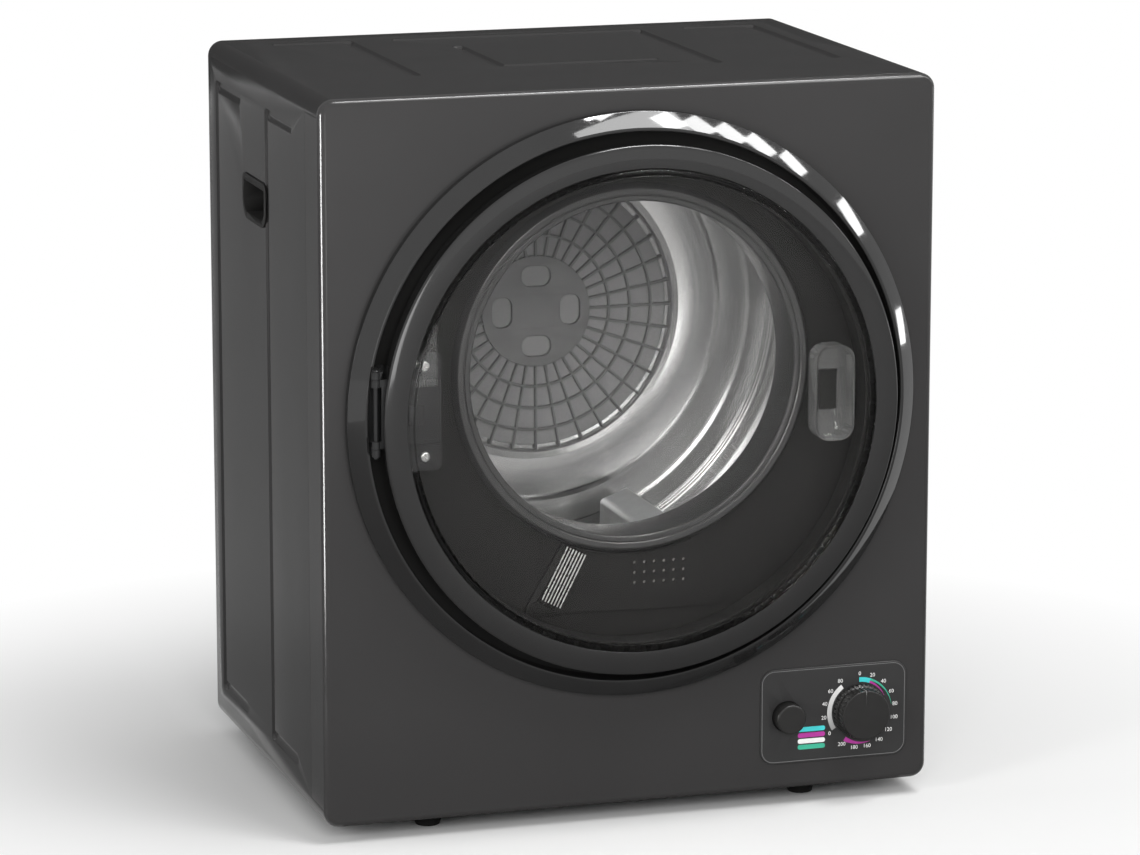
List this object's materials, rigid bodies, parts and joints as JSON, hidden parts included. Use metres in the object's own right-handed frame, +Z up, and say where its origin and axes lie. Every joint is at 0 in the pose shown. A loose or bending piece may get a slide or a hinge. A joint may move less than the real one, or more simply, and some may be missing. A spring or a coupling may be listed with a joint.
{
  "type": "compact clothes dryer",
  "caption": "Compact charcoal clothes dryer with a round smoked-glass door, a tumbling steel drum, a timer knob, a heat button, pocket handles and a rear exhaust collar.",
  "frame": {"origin": "on the floor, under the middle of the bounding box", "axes": "+Z up, front with the door faces -Y, +X to the right seen from the front"},
  "size_m": [0.4974, 0.421, 0.58],
  "materials": {
    "charcoal_paint": "satin charcoal paint",
    "gloss_black": "polished",
    "smoked_window": "tinted, polished",
    "clear_plastic": "clear, slightly milky",
    "black_plastic": "fine grain",
    "fascia_plastic": "smooth with printed dial marks",
    "knob_plastic": "satin",
    "pale_plastic": "milky, lightly polished",
    "lifter_plastic": "satin",
    "grille_plastic": "satin",
    "stainless_steel": "brushed round",
    "galvanised_steel": "dull zinc",
    "zinc_steel": "bright zinc",
    "hinge_paint": "satin dark grey",
    "filter_net": "fine woven net",
    "cast_metal": "as cast",
    "motor_paint": "satin",
    "heater_metal": "bare",
    "brown_plastic": "moulded",
    "black_rubber": "matte",
    "felt": "pressed felt"
  },
  "bodies": {
    "cabinet": {"base_tray": "galvanised_steel", "bearing_carrier": "galvanised_steel", "blower_housing": "black_plastic", "cabinet_wrap": "charcoal_paint", "control_fascia": "fascia_plastic", "cord_gland": "black_plastic", "door_bezel": "gloss_black", "door_catch": "black_plastic", "door_switch": "black_plastic", "drive_belt": "black_rubber", "drum_bearing": "zinc_steel", "exhaust_collar": "black_plastic", "exhaust_duct": "black_plastic", "feet": "black_plastic", "front_bulkhead": "black_plastic", "front_felt": "felt", "front_panel": "charcoal_paint", "heat_switch": "black_plastic", "heater_core": "heater_metal", "heater_frame": "galvanised_steel", "hinge_bracket": "hinge_paint", "hinge_pin": "hinge_paint", "intake_duct": "black_plastic", "lint_cover": "black_plastic", "lint_filter": "felt", "motor_body": "motor_paint", "motor_bracket": "galvanised_steel", "mouth_ring": "pale_plastic", "rear_air_ring": "galvanised_steel", "rear_felt": "felt", "rear_panel": "galvanised_steel", "rear_screws": "zinc_steel", "side_handle_left": "black_plastic", "side_handle_right": "black_plastic", "thermostats": "brown_plastic", "timer_body": "black_plastic"},
    "door": {"door_ring": "gloss_black", "door_window": "smoked_window", "window_retainer": "black_plastic", "door_gasket": "black_rubber", "hinge_leaf": "hinge_paint", "hinge_screws": "zinc_steel", "latch_housing": "clear_plastic", "latch_tongue": "black_plastic"},
    "drum": {"drum_shell": "stainless_steel", "drum_front": "stainless_steel", "drum_back": "stainless_steel", "rear_grille": "grille_plastic", "grille_net": "filter_net", "lifters": "lifter_plastic", "drum_spider": "cast_metal", "drum_shaft": "zinc_steel"},
    "rotor": {"motor_shaft": "zinc_steel", "fan_impeller": "black_plastic", "motor_pulley": "cast_metal"},
    "knob": {"timer_knob": "knob_plastic", "timer_shaft": "zinc_steel"},
    "button": {"heat_button": "knob_plastic"}
  },
  "joints": [
    {"name": "door_hinge", "type": "hinge", "parent": "cabinet", "child": "door", "pos_m": [-0.2115, -0.1985, 0.343], "axis": [0, 0, -1], "range_deg": [0, 150]},
    {"name": "drum_spin", "type": "hinge", "parent": "cabinet", "child": "drum", "pos_m": [0, 0, 0.361], "axis": [0, 1, 0], "continuous": true},
    {"name": "motor_spin", "type": "hinge", "parent": "cabinet", "child": "rotor", "pos_m": [-0.115, 0, 0.0828], "axis": [0, 1, 0], "continuous": true},
    {"name": "timer_turn", "type": "hinge", "parent": "cabinet", "child": "knob", "pos_m": [0.1896, -0.1745, 0.0738], "axis": [0, 1, 0], "continuous": true},
    {"name": "heat_press", "type": "slide", "parent": "cabinet", "child": "button", "axis": [0, 1, 0], "range_m": [0, 0.004], "stiffness_N_per_m": 500, "springref_m": -0.002}
  ],
  "couplings": [
    {"joint": "motor_spin", "follows": "drum_spin", "ratio": 22.944}
  ]
}
